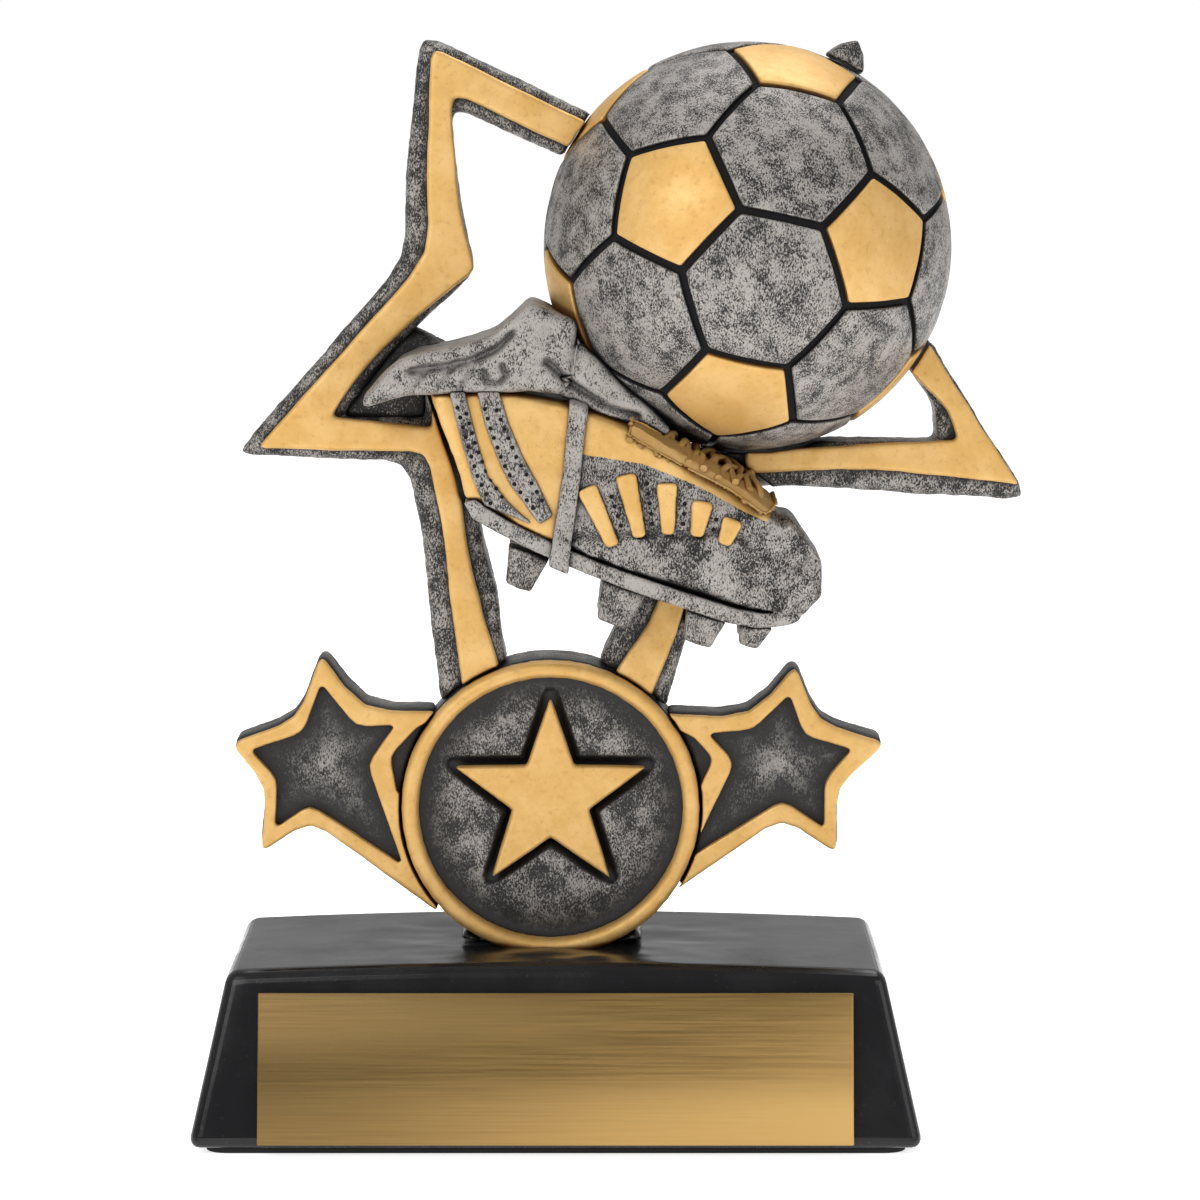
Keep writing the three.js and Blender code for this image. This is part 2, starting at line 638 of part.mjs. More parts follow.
function framePieces(bootSpaces) {
  const medal = disc(medallion.radius, through, -through, clearance)
    .translate(medallion.x, 0, -medallion.radius);
  const cutters = [ballCutter(), medal, ...bootSpaces];
  const body = (points, grow = 0) =>
    slab(outline(points), frame.back, frame.front, { edge: frame.edge, grow });
  const face = (points) =>
    slab(outline(points), frame.front - bond, frame.faceFront, { edge: frame.faceEdge });
  const polar = (degrees, reach) => {
    const angle = THREE.MathUtils.degToRad(degrees);
    return [ballCentre[0] + reach * Math.cos(angle), ballCentre[2] + reach * Math.sin(angle)];
  };
  const frameTip = [
    polar(tip.angles.left, ball.radius * tip.root),
    [...polar(tip.angles.point, ball.radius + tip.reach), tip.cornerRadius],
    polar(tip.angles.right, ball.radius * tip.root),
  ];
  const webPlate = slab(outline(webOutline), web.back, web.front);
  return [
    piece("frame_left", cut(body(frameLeft), ...cutters), "antique_silver"),
    piece("frame_right", cut(body(frameRight), ...cutters), "antique_silver"),
    piece("frame_top_tip", cut(body(frameTip), ...cutters), "antique_silver"),
    piece("frame_web", cut(webPlate, body(frameLeft, clearance), ...cutters), "antique_silver"),
    piece("frame_face_left", cut(face(faceLeft), ...cutters), "satin_gold"),
    piece("frame_face_right", cut(face(faceRight), ...cutters), "satin_gold"),
    piece("frame_face_right_leg", cut(face(faceRightLeg), ...cutters), "satin_gold"),
  ];
}

// ---------------------------------------------------------------- assembly

const bootAssembly = bootPieces();
const trophy = group(
  [0, 0, 0],
  feltPad(),
  baseBlock(),
  namePlate(),
  figureStem(),
  medallionPieces(),
  sideStarPieces("left", -medallion.radius, leftStarOutline, leftStarPanel, leftStarHollow),
  sideStarPieces("right", medallion.radius, rightStarOutline, rightStarPanel, rightStarHollow),
  group([0, 0, medallionTop], ballPieces(), bootAssembly.made, ...framePieces(bootAssembly.spaces)),
);

export default trophy;
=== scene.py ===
"""Star trophy: the painted skins, small details and studio of a cast resin football trophy.

Metres, +Z up, the front faces -Y, the origin is the middle of the underside. Each operator in
the sidebar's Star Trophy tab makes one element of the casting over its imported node.
"""

import json
import math

import bpy
from bpy.props import FloatProperty, FloatVectorProperty, IntProperty, PointerProperty
from mathutils import Matrix, Vector, noise
from mathutils.geometry import intersect_point_line

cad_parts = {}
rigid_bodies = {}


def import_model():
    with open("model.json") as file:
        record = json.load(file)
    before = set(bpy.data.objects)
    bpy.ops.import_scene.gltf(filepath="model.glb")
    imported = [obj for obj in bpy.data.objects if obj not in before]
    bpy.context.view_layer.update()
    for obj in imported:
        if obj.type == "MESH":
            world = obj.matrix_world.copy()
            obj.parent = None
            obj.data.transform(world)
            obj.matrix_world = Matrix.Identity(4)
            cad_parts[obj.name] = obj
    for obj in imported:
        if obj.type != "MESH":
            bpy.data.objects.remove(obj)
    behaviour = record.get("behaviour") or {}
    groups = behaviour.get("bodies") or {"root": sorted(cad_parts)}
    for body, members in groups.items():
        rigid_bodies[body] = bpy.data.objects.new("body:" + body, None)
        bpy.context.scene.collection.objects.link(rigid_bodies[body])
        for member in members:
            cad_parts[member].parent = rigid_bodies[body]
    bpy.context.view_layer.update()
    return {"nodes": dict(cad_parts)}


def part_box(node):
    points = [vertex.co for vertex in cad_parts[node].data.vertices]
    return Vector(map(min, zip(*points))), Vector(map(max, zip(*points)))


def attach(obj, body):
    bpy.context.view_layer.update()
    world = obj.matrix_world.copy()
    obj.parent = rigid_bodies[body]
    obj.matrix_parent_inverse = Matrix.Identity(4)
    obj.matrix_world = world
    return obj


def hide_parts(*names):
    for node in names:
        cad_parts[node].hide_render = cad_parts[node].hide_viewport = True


bl_info = {
    "name": "Star Trophy",
    "version": (1, 0, 0),
    "blender": (4, 5, 0),
    "location": "3D View > Sidebar > Star Trophy",
    "description": "Models and paints a cast star trophy with a football and a boot",
    "category": "Object",
}

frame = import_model()
nodes = frame["nodes"]

MM = 0.001

# Lines on the boot, in millimetres along and above the sole from its heel point.
WELT_SEAM = [(5.6, 2.6), (9, 3.6), (13, 5.4), (17.5, 6.7), (20.5, 7.9), (22.6, 7.9), (24, 7.3)]
COLLAR_FURROW = [(-13.5, 13.9), (-10.5, 15.2), (-8.2, 16.5), (-6.2, 18.4), (-5.2, 20.4)]
COLLAR_CURL = [(-6.6, 15.9), (-6, 15), (-4.9, 15.2), (-4.4, 16.2), (-5.1, 17.1)]
COLLAR_CREASES = [
    [(-12.6, 12.4), (-12.2, 14)],
    [(-10.4, 13.2), (-9.8, 15.2)],
    [(-8.2, 13.8), (-7.9, 15.9)],
]
TONGUE_FURROW = [(-1, 18.8), (2, 17.3), (6, 16.2), (9, 16.1)]
TOE_SWIRL = [(27.6, 8.6), (29, 8.8), (30, 7.8), (29.4, 6.6), (28.2, 6.9)]
HEEL_BAND_EDGES = [
    [(-8.3, 12.2), (-6, 8.6), (-4, 5.7), (-2, 3.6)],
    [(-7.3, 11.9), (-5.3, 8.9), (-3.2, 6.2), (-0.9, 4.4)],
    [(-5.7, 12.9), (-4.4, 10.9), (-2.2, 8), (-0.3, 6.1), (2.4, 4.3)],
    [(-4.6, 13.1), (-3, 11.2), (-1, 8.8), (1.1, 6.9), (3.3, 5)],
]
BETWEEN_RIBS = [
    [(11.1, 5.1), (8.8, 8.3)],
    [(13.9, 6.2), (12, 10.3)],
    [(16.7, 7.1), (15.9, 10.5)],
    [(19.6, 7.5), (19.5, 9.8)],
]
GILT_EDGE = [(4, 10.8), (6.6, 11.3), (11.2, 12), (16.9, 11.6), (21.6, 10.6), (24.5, 10.2)]
GILT_BLUR = 0.3

# The gold heel ends at this line: its place at the sole, and how far it leans back a millimetre.
HEEL_GILT_FOOT = 6.2
HEEL_GILT_LEAN = 0.19

# The lace strands, in millimetres: where the first row starts along the sole, the length that the
# rows are spread over, how far a strand runs forward as it crosses, how far its ends hang back,
# and the arch that it is laid over. The reach is the angle, in radians, to each side of the crown.
LACE_ROWS = 8
LACE_STEPS = 12
LACE_START = 9.4
LACE_RUN = 13.4
LACE_FORWARD = 3.4
LACE_HANG = 1.2
LACE_REACH = 1.08
LACE_ARCH_WIDTH = 6.6
LACE_ARCH_FOOT = 8
LACE_ARCH_RISE = 9

# The groove round the medallion's star, in millimetres: its outer edge, its slope and its depth.
STAR_GROOVE_EDGE = 0.95
STAR_GROOVE_SLOPE = 0.3
STAR_GROOVE_DEPTH = 0.5

# The base's sides lean in by this share of the lean of its front and back.
SIDE_LEAN_SHARE = 0.94
# The ripples of the lacquer round the neck: how far they reach, and waves to a metre.
RIPPLE_REACH = 15 * MM
RIPPLE_WAVES = (190, 420)


# ---------------------------------------------------------------- sizes and colours


class TrophyCasting(bpy.types.PropertyGroup):
    grain: FloatProperty(
        name="Skin grain",
        description="Size of the faces of a recast skin",
        default=0.28 * MM,
        min=0.1 * MM,
        unit="LENGTH",
        precision=5,
    )
    soften: IntProperty(
        name="Softening",
        description="Passes of smoothing that round the edges of the casting",
        default=7,
        min=0,
    )
    wobble: FloatProperty(
        name="Wobble",
        description="Depth of the broad unevenness of the modelled shapes",
        default=0.35 * MM,
        min=0,
        unit="LENGTH",
        precision=5,
    )
    crinkle: FloatProperty(
        name="Crinkle",
        description="Depth of the fine tool marks",
        default=0.22 * MM,
        min=0,
        unit="LENGTH",
        precision=5,
    )


class TrophyBase(bpy.types.PropertyGroup):
    crown: FloatProperty(
        name="Crown",
        description="Rise of the middle of the top above its sides",
        default=1 * MM,
        min=0,
        unit="LENGTH",
        precision=5,
    )
    edge: FloatProperty(
        name="Edge radius",
        description="Rounding of the edges of the base",
        default=1.2 * MM,
        min=0,
        unit="LENGTH",
        precision=5,
    )
    ripple: FloatProperty(
        name="Ripple",
        description="Depth of the ripples in the lacquer round the neck",
        default=0.45 * MM,
        min=0,
        unit="LENGTH",
        precision=5,
    )
    plate_edge: FloatProperty(
        name="Plate edge",
        description="Rounding of the edges of the name plate",
        default=0.12 * MM,
        min=0,
        unit="LENGTH",
        precision=5,
    )


class TrophyBall(bpy.types.PropertyGroup):
    seam_width: FloatProperty(
        name="Seam width",
        description="Width of the groove between two panels",
        default=0.6 * MM,
        min=0,
        unit="LENGTH",
        precision=5,
    )
    seam_depth: FloatProperty(
        name="Seam depth",
        description="Depth of the groove between two panels",
        default=0.6 * MM,
        min=0,
        unit="LENGTH",
        precision=5,
    )
    panel_edge: FloatProperty(
        name="Panel edge",
        description="Rounding of the edges of a panel",
        default=0.28 * MM,
        min=0,
        unit="LENGTH",
        precision=5,
    )
    cuts: IntProperty(
        name="Panel cuts", description="Cuts across each third of a panel", default=9, min=1
    )


class TrophyBoot(bpy.types.PropertyGroup):
    heel: FloatVectorProperty(
        name="Heel point",
        description="Heel end of the sole, on the boot's middle plane",
        default=(-5.5 * MM, -5.2 * MM, 60.1 * MM),
        subtype="TRANSLATION",
        unit="LENGTH",
        precision=5,
    )
    pitch: FloatProperty(
        name="Pitch",
        description="How far the toe points down",
        default=math.radians(17.5),
        subtype="ANGLE",
    )
    lace: FloatProperty(
        name="Lace thickness",
        description="Diameter of a lace strand",
        default=0.75 * MM,
        min=0.1 * MM,
        unit="LENGTH",
        precision=5,
    )
    hole: FloatProperty(
        name="Perforation",
        description="Diameter of a perforation",
        default=0.42 * MM,
        min=0.1 * MM,
        unit="LENGTH",
        precision=5,
    )
    hole_spacing: FloatProperty(
        name="Perforation spacing",
        description="Distance from one perforation to the next",
        default=1 * MM,
        min=0.3 * MM,
        unit="LENGTH",
        precision=5,
    )


def colour(name, description, default):
    """A colour setting."""
    return FloatVectorProperty(
        name=name, description=description, default=default, subtype="COLOR", min=0, max=1
    )


class TrophyColours(bpy.types.PropertyGroup):
    gold: colour("Gold", "Satin gold paint", (0.6, 0.355, 0.105))
    gold_light: colour("Light gold", "Gold where the paint is thickest", (0.69, 0.44, 0.165))
    # The gold shadow is painted shade in the recesses of the gold, and also the brown where the gold is
    # thin.
    gold_shade_and_thin_paint: colour("Gold shadow", "Brown wash in the recesses of the gold", (0.2, 0.075, 0.015))
    silver: colour("Silver", "Silver paint rubbed over the black", (0.26, 0.24, 0.22))
    silver_light: colour("Light silver", "Silver on the high places", (0.43, 0.4, 0.37))
    # The wash is the black under the silver; it is also laid in recesses and towards rims, partly as
    # black wash and partly as painted shade.
    wash: colour("Wash", "Black under the silver and in the recesses", (0.012, 0.011, 0.011))
    black: colour("Black", "Gloss black lacquer", (0.008, 0.008, 0.009))
    plate: colour("Plate", "Anodised name plate", (0.46, 0.29, 0.1))
    felt: colour("Felt", "Felt under the base", (0.012, 0.012, 0.013))
    tape: colour("Tape", "Adhesive film behind the plate", (0.8, 0.78, 0.72))


class TrophyStage(bpy.types.PropertyGroup):
    floor: colour("Floor", "Colour of the floor", (0.9, 0.9, 0.9))
    glow: FloatProperty(
        name="Floor glow", description="Brightness that the floor gives off", default=0.7, min=0
    )
    sky: FloatProperty(
        name="Surround", description="Brightness of the surround behind the trophy", default=0.55, min=0
    )
    room: FloatProperty(
        name="Room", description="Brightness of the room in front of the trophy", default=0.25, min=0
    )
    key: FloatProperty(name="Key light", description="Power of the key light", default=3, unit="POWER")
    fill: FloatProperty(
        name="Fill light", description="Power of the fill light", default=1, unit="POWER"
    )
    top: FloatProperty(name="Top light", description="Power of the top light", default=2, unit="POWER")
    camera: FloatVectorProperty(
        name="Camera",
        description="Place of the camera",
        default=(4.4 * MM, -431 * MM, 110 * MM),
        subtype="TRANSLATION",
        unit="LENGTH",
    )
    look_down: FloatProperty(
        name="Look down",
        description="How far the camera looks down",
        default=math.radians(7.5),
        subtype="ANGLE",
    )
    lens: FloatProperty(
        name="Lens", description="Focal length", default=128.5, subtype="DISTANCE_CAMERA"
    )


# ---------------------------------------------------------------- bench tools


def pick(*things):
    """Selects these objects only, and makes the last one active."""
    bpy.ops.object.select_all(action="DESELECT")
    for thing in things:
        thing.select_set(True)
    bpy.context.view_layer.objects.active = things[-1]


def finish_with(piece, kind, **settings):
    """Adds a modifier with these settings, and applies it."""
    pick(piece)
    bpy.ops.object.modifier_add(type=kind)
    modifier = piece.modifiers[-1]
    for setting, value in settings.items():
        setattr(modifier, setting, value)
    bpy.ops.object.modifier_apply(modifier=modifier.name)


def copy_of(node, name):
    """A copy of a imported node, its loose triangles merged into one skin."""
    piece = bpy.data.objects.new(name, nodes[node].data.copy())
    bpy.context.collection.objects.link(piece)
    piece.data.materials.clear()
    pick(piece)
    bpy.ops.object.mode_set(mode="EDIT")
    bpy.ops.mesh.select_all(action="SELECT")
    bpy.ops.mesh.remove_doubles(threshold=1e-6)
    bpy.ops.mesh.customdata_custom_splitnormals_clear()
    bpy.ops.object.mode_set(mode="OBJECT")
    return piece


def subdivide(piece, cuts):
    """Cuts every face of a piece."""
    pick(piece)
    bpy.ops.object.mode_set(mode="EDIT")
    bpy.ops.mesh.select_all(action="SELECT")
    bpy.ops.mesh.subdivide(number_cuts=cuts)
    bpy.ops.object.mode_set(mode="OBJECT")


def gap_to(node, point):
    """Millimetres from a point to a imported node."""
    _, near, _, _ = nodes[node].closest_point_on_mesh(point)
    return (point - near).length / MM


def clouds(size):
    """The cloud texture whose hollows are about this size."""
    name = f"clouds_{size / MM:.2f}_mm"
    texture = bpy.data.textures.get(name) or bpy.data.textures.new(name, "CLOUDS")
    texture.noise_scale = size
    texture.noise_depth = 2
    return texture


def dent(piece, size, depth):
    """Works hollows of about this size and at most this depth into the skin."""
    if depth > 0:
        finish_with(piece, "DISPLACE", texture=clouds(size), strength=-depth, mid_level=0)


def recast(node, *joined, grain=1, soften=1, wobble=0, crinkle=0, swell=0):
    """A node recast by hand: one skin of small even faces, soft edges, and an uneven surface.

    Joined names more nodes that run into the same skin. Swell, in millimetres, pushes the skin
    out. The other numbers are shares of the casting's own settings. The skin is first pushed out
    by half the depth of its dents, so they stay level with the node.
    """
    casting = bpy.context.scene.trophy_casting
    piece = copy_of(node, f"{node}_cast")
    if joined:
        pick(*[copy_of(name, name) for name in joined], piece)
        bpy.ops.object.join()
    size = casting.grain * grain
    swell = swell * MM + (casting.wobble * wobble + casting.crinkle * crinkle) / 2
    finish_with(piece, "REMESH", mode="VOXEL", voxel_size=size, use_smooth_shade=True)
    finish_with(piece, "SMOOTH", factor=0.5, iterations=round(casting.soften * soften))
    if swell:
        finish_with(piece, "DISPLACE", strength=swell, mid_level=0)
    dent(piece, 5 * MM, casting.wobble * wobble)
    dent(piece, 1.1 * MM, casting.crinkle * crinkle)
    return piece


def deliver(piece, finish, slot, *replaced):
    """Paints a piece, unless it is painted already, and fixes it in place of its nodes."""
    if finish:
        piece.data.materials.clear()
        piece.data.materials.append(finish)
    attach(piece, "root")
    if replaced:
        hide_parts(*replaced)


def boot_axes():
    """The boot's own directions: along the sole, across it, and up from it."""
    pitch = bpy.context.scene.trophy_boot.pitch
    along = Vector((math.cos(pitch), 0, -math.sin(pitch)))
    up = Vector((math.sin(pitch), 0, math.cos(pitch)))
    return along, Vector((0, 1, 0)), up


def on_boot(along, across, up):
    """A point in the trophy's frame from millimetres along, across and above the sole."""
    heel = Vector(bpy.context.scene.trophy_boot.heel)
    a, b, c = boot_axes()
    return heel + (a * along + b * across + c * up) * MM


def boot_place(point):
    """Millimetres along and above the sole, of a point in the trophy's frame."""
    offset = point - Vector(bpy.context.scene.trophy_boot.heel)
    along, _, up = boot_axes()
    return Vector((offset.dot(along), offset.dot(up))) / MM


def distance_to(place, line):
    """Distance from a place to a line of points, in the line's own units."""
    nearest = math.inf
    for start, end in zip(line, line[1:]):
        start, end = Vector(start), Vector(end)
        foot, share = intersect_point_line(place, start, end)
        if share <= 0:
            foot = start
        elif share >= 1:
            foot = end
        nearest = min(nearest, (place - foot.to_2d()).length)
    return nearest


def carve(piece, line, width, depth):
    """Presses a groove along a line on both sides of the boot. A negative depth raises a ridge."""
    low = [min(axis) - 3 * width for axis in zip(*line)]
    high = [max(axis) + 3 * width for axis in zip(*line)]
    moves = []
    for vertex in piece.data.vertices:
        place = boot_place(vertex.co)
        if low[0] < place.x < high[0] and low[1] < place.y < high[1]:
            share = math.exp(-((distance_to(place, line) / width) ** 2))
            if share > 0.01:
                moves.append((vertex, vertex.normal * (-depth * share * MM)))
    for vertex, move in moves:
        vertex.co += move


def wash_and_shade_near(piece, edges):
    """Marks in a skin attribute how far each place is from these nodes, for black wash and painted
    shade near them.

    Each edge is a node's name, where the full wash and painted shade end, and where the paint is clear
    of them, in millimetres.
    """
    mask = piece.data.attributes.new("free_of_rim_wash_and_shade", "FLOAT", "POINT")
    for vertex, item in zip(piece.data.vertices, mask.data):
        free_of_rim_wash_and_shade = 1
        for node, wash, paint_line in edges:
            gap = gap_to(node, vertex.co)
            free_of_rim_wash_and_shade = min(free_of_rim_wash_and_shade, max(0, (gap - wash) / (paint_line - wash)))
        item.value = free_of_rim_wash_and_shade


# ---------------------------------------------------------------- paints


class Paint:
    """A node material in the making: a Principled shader on Object coordinates."""

    def __init__(self, name, roughness, metallic=0.0):
        self.material = bpy.data.materials.new(name)
        self.material.use_nodes = True
        self.tree = self.material.node_tree
        self.shader = self.tree.nodes["Principled BSDF"]
        self.shader.inputs["Roughness"].default_value = roughness
        self.shader.inputs["Metallic"].default_value = metallic
        self.place = self.tree.nodes.new("ShaderNodeTexCoord").outputs["Object"]

    def add(self, kind, inputs, output, **settings):
        node = self.tree.nodes.new(kind)
        for setting, value in settings.items():
            setattr(node, setting, value)
        for key, value in inputs.items():
            if isinstance(value, bpy.types.NodeSocket):
                self.tree.links.new(value, node.inputs[key])
            else:
                node.inputs[key].default_value = value
        return node.outputs[output]

    def stretch(self, scale, turn=(0, 0, 0)):
        inputs = {"Vector": self.place, "Scale": scale, "Rotation": turn}
        return self.add("ShaderNodeMapping", inputs, "Vector")

    def grain(self, per_metre, detail=6, roughness=0.65, distortion=0.0, place=None):
        inputs = {
            "Vector": place or self.place,
            "Scale": per_metre,
            "Detail": detail,
            "Roughness": roughness,
            "Distortion": distortion,
        }
        return self.add("ShaderNodeTexNoise", inputs, "Fac")

    def math(self, operation, first, second, third=0.0):
        inputs = {0: first, 1: second, 2: third}
        return self.add("ShaderNodeMath", inputs, "Value", operation=operation)

    def span(self, value, low, high, start=0.0, end=1.0):
        inputs = {"Value": value, "From Min": low, "From Max": high, "To Min": start, "To Max": end}
        return self.add("ShaderNodeMapRange", inputs, "Result", interpolation_type="SMOOTHSTEP")

    def mix(self, share, first, second):
        inputs = {0: share, 6: self.rgba(first), 7: self.rgba(second)}
        return self.add("ShaderNodeMix", inputs, 2, data_type="RGBA")

    def rgba(self, value):
        return value if isinstance(value, bpy.types.NodeSocket) else (*value, 1)

    def openness(self, reach, low, high, inside=False):
        """0 in a recess, or on a sharp edge when inside is true, and 1 on an open face."""
        inputs = {"Distance": reach}
        node = self.add("ShaderNodeAmbientOcclusion", inputs, "AO", samples=8, inside=inside)
        return self.span(node, low, high)

    def colour(self, value):
        self.tree.links.new(value, self.shader.inputs["Base Color"])

    def roughness(self, value):
        self.tree.links.new(value, self.shader.inputs["Roughness"])

    def bump(self, height, depth, strength=1.0):
        inputs = {"Height": height, "Distance": depth, "Strength": strength}
        normal = self.add("ShaderNodeBump", inputs, "Normal")
        self.tree.links.new(normal, self.shader.inputs["Normal"])


def silver_layer(paint, cover):
    """Silver rubbed over black: specks and strokes of black show through, and recesses are darkened to
    black, partly as black wash and partly as painted shade.

    Cover is the share of silver, from 0 to 1. Returns the colour and the specks.
    """
    colours = bpy.context.scene.trophy_colours
    strokes = paint.grain(7200, 5, 0.68, 0.3, paint.stretch((1, 1, 0.55), (0, 0.6, 0)))
    patches = paint.grain(480, 5, 0.6)
    specks = paint.math("MULTIPLY_ADD", patches, 0.5, strokes)
    middle = 0.93 - 0.25 * cover
    shade = paint.span(specks, middle - 0.07, middle + 0.07)
    silver = paint.mix(paint.grain(500, 4), colours.silver, colours.silver_light)
    # Painted shade and black wash: recesses are darkened to black.
    free_of_recess_wash_and_shade = paint.openness(1.5 * MM, 0.45, 0.85)
    worn = paint.openness(0.45 * MM, 0.45, 0.85, inside=True)
    shade = paint.math("MAXIMUM", shade, paint.math("SUBTRACT", 0.85, worn))
    shade = paint.math("MULTIPLY", shade, free_of_recess_wash_and_shade)
    return paint.mix(shade, colours.wash, silver), specks


def gold_layer(paint, share=1):
    """Satin gold, with painted brown shade in the recesses and brown where the gold is thin. Returns
    the colour and its grain.

    Share dims the gold, from 1 to 0.
    """
    colours = bpy.context.scene.trophy_colours
    patches = paint.span(paint.grain(240, 4), 0.35, 0.7)
    dull = [channel * share for channel in colours.gold]
    bright = [channel * share for channel in colours.gold_light]
    gold = paint.mix(patches, dull, bright)
    grain = paint.grain(1600, 6, 0.7)
    thin = paint.span(grain, 0.3, 0.46)
    gold = paint.mix(paint.math("MULTIPLY_ADD", thin, 0.22, 0.78), colours.gold_shade_and_thin_paint, gold)
    # Painted shade: brown in the recesses of the gold.
    return paint.mix(paint.openness(1.1 * MM, 0.35, 0.8), colours.gold_shade_and_thin_paint, gold), grain


def make_silver(name, cover=0.75):
    paint = Paint(name, 0.42, 0.35)
    shade, specks = silver_layer(paint, cover)
    paint.colour(shade)
    paint.roughness(paint.span(specks, 0.5, 0.8, 0.55, 0.4))
    paint.bump(specks, 0.12 * MM, 0.6)
    return paint.material


def make_panel(name):
    """Silver darkened towards the rims by black wash and painted shade, as the skin's own attribute
    says.
    """
    colours = bpy.context.scene.trophy_colours
    paint = Paint(name, 0.45, 0.3)
    shade, specks = silver_layer(paint, 0.62)
    # Black wash and painted shade near the rims, with a ragged edge.
    free_of_rim_wash_and_shade = paint.add("ShaderNodeAttribute", {}, "Fac", attribute_name="free_of_rim_wash_and_shade")
    ragged = paint.math("MULTIPLY_ADD", paint.grain(1700, 5, 0.7), 0.9, free_of_rim_wash_and_shade)
    paint.colour(paint.mix(paint.span(ragged, 0.5, 1.75), colours.wash, shade))
    paint.bump(specks, 0.12 * MM, 0.6)
    return paint.material


def make_gold(name, share=1):
    paint = Paint(name, 0.5, 0.5)
    shade, grain = gold_layer(paint, share)
    paint.colour(shade)
    paint.roughness(paint.span(grain, 0.3, 0.7, 0.58, 0.48))
    paint.bump(grain, 0.05 * MM, 0.5)
    return paint.material


def make_boot_paint(name):
    """Gold or silver on one skin, as the skin's own gilt attribute says."""
    paint = Paint(name, 0.4, 0.55)
    silver, specks = silver_layer(paint, 0.7)
    gold, _ = gold_layer(paint)
    gilt = paint.add("ShaderNodeAttribute", {}, "Fac", attribute_name="gilt")
    ragged = paint.math("MULTIPLY_ADD", paint.grain(1500, 4), 0.5, gilt)
    paint.colour(paint.mix(paint.span(ragged, 0.65, 0.85), silver, gold))
    paint.bump(specks, 0.08 * MM, 0.5)
    return paint.material


def make_black(name):
    colours = bpy.context.scene.trophy_colours
    paint = Paint(name, 0.16)
    haze = paint.grain(90, 5, 0.6)
    dust = paint.span(paint.grain(2600, 2), 0.68, 0.74)
    paint.colour(paint.mix(paint.math("MULTIPLY", dust, 0.25), colours.black, (0.08, 0.08, 0.085)))
    paint.roughness(paint.span(haze, 0.3, 0.7, 0.13, 0.3))
    paint.shader.inputs["Specular IOR Level"].default_value = 0.35
    paint.bump(paint.grain(700, 3), 0.03 * MM, 0.5)
    return paint.material


def make_plate(name):
    """Brushed sheet: fine scratches along X, broad random patches, and a painted reflection that is
    darker at the upper left and brighter at the lower right.
    """
    colours = bpy.context.scene.trophy_colours
    paint = Paint(name, 0.36, 0.85)
    scratches = paint.grain(5000, 4, 0.6, 0, paint.stretch((0.015, 1, 1)))
    broad = paint.grain(55, 2, 0.5, 0, paint.stretch((0.3, 1, 1)))
    side = paint.add("ShaderNodeSeparateXYZ", {"Vector": paint.place}, "X")
    rise = paint.add("ShaderNodeSeparateXYZ", {"Vector": paint.place}, "Z")
    # Painted reflection: darker towards the top and the left of the sheet, brighter towards the bottom
    # and the right.
    slope = paint.math("MULTIPLY_ADD", rise, -22, paint.math("MULTIPLY_ADD", side, 9, 0.7))
    tone_and_painted_reflection = paint.math("MULTIPLY_ADD", broad, 0.35, slope)
    tone_and_painted_reflection = paint.math("MULTIPLY_ADD", scratches, 0.3, tone_and_painted_reflection)
    deep = [channel * 0.28 for channel in colours.plate]
    bright = [min(1, channel * 1.1) for channel in colours.plate]
    paint.colour(paint.mix(paint.span(tone_and_painted_reflection, 0.45, 1.3), deep, bright))
    paint.roughness(paint.span(scratches, 0.3, 0.7, 0.32, 0.44))
    paint.bump(scratches, 0.01 * MM, 0.4)
    return paint.material


def make_felt(name):
    colours = bpy.context.scene.trophy_colours
    paint = Paint(name, 0.95)
    fuzz = paint.grain(2500, 6, 0.8)
    lint = [channel * 4 for channel in colours.felt]
    paint.colour(paint.mix(paint.span(fuzz, 0.4, 0.75), colours.felt, lint))
    paint.shader.inputs["Sheen Weight"].default_value = 0.5
    paint.bump(fuzz, 0.1 * MM)
    return paint.material


def make_tape(name):
    colours = bpy.context.scene.trophy_colours
    paint = Paint(name, 0.6)
    mottle = paint.grain(700, 3)
    shaded = [channel * 0.85 for channel in colours.tape]
    paint.colour(paint.mix(mottle, shaded, colours.tape))
    paint.bump(mottle, 0.02 * MM)
    return paint.material


def make_hole(name):
    colours = bpy.context.scene.trophy_colours
    paint = Paint(name, 0.7)
    paint.colour(paint.mix(paint.grain(2000, 2), colours.wash, colours.black))
    paint.shader.inputs["Specular IOR Level"].default_value = 0.1
    return paint.material


PAINTS = {
    "antique silver": make_silver,
    "light silver": lambda name: make_silver(name, 0.95),
    "panel silver": make_panel,
    "side silver": lambda name: make_silver(name, 0.58),
    "dark silver": lambda name: make_silver(name, 0.3),
    "satin gold": make_gold,
    "lace gold": lambda name: make_gold(name, 0.62),
    "boot paint": make_boot_paint,
    "gloss black": make_black,
    "plate gold": make_plate,
    "felt": make_felt,
    "tape": make_tape,
    "perforation": make_hole,
}


def paint(name):
    """The paint of this name, made the first time that it is asked for."""
    return bpy.data.materials.get(name) or PAINTS[name](name)


# ---------------------------------------------------------------- base


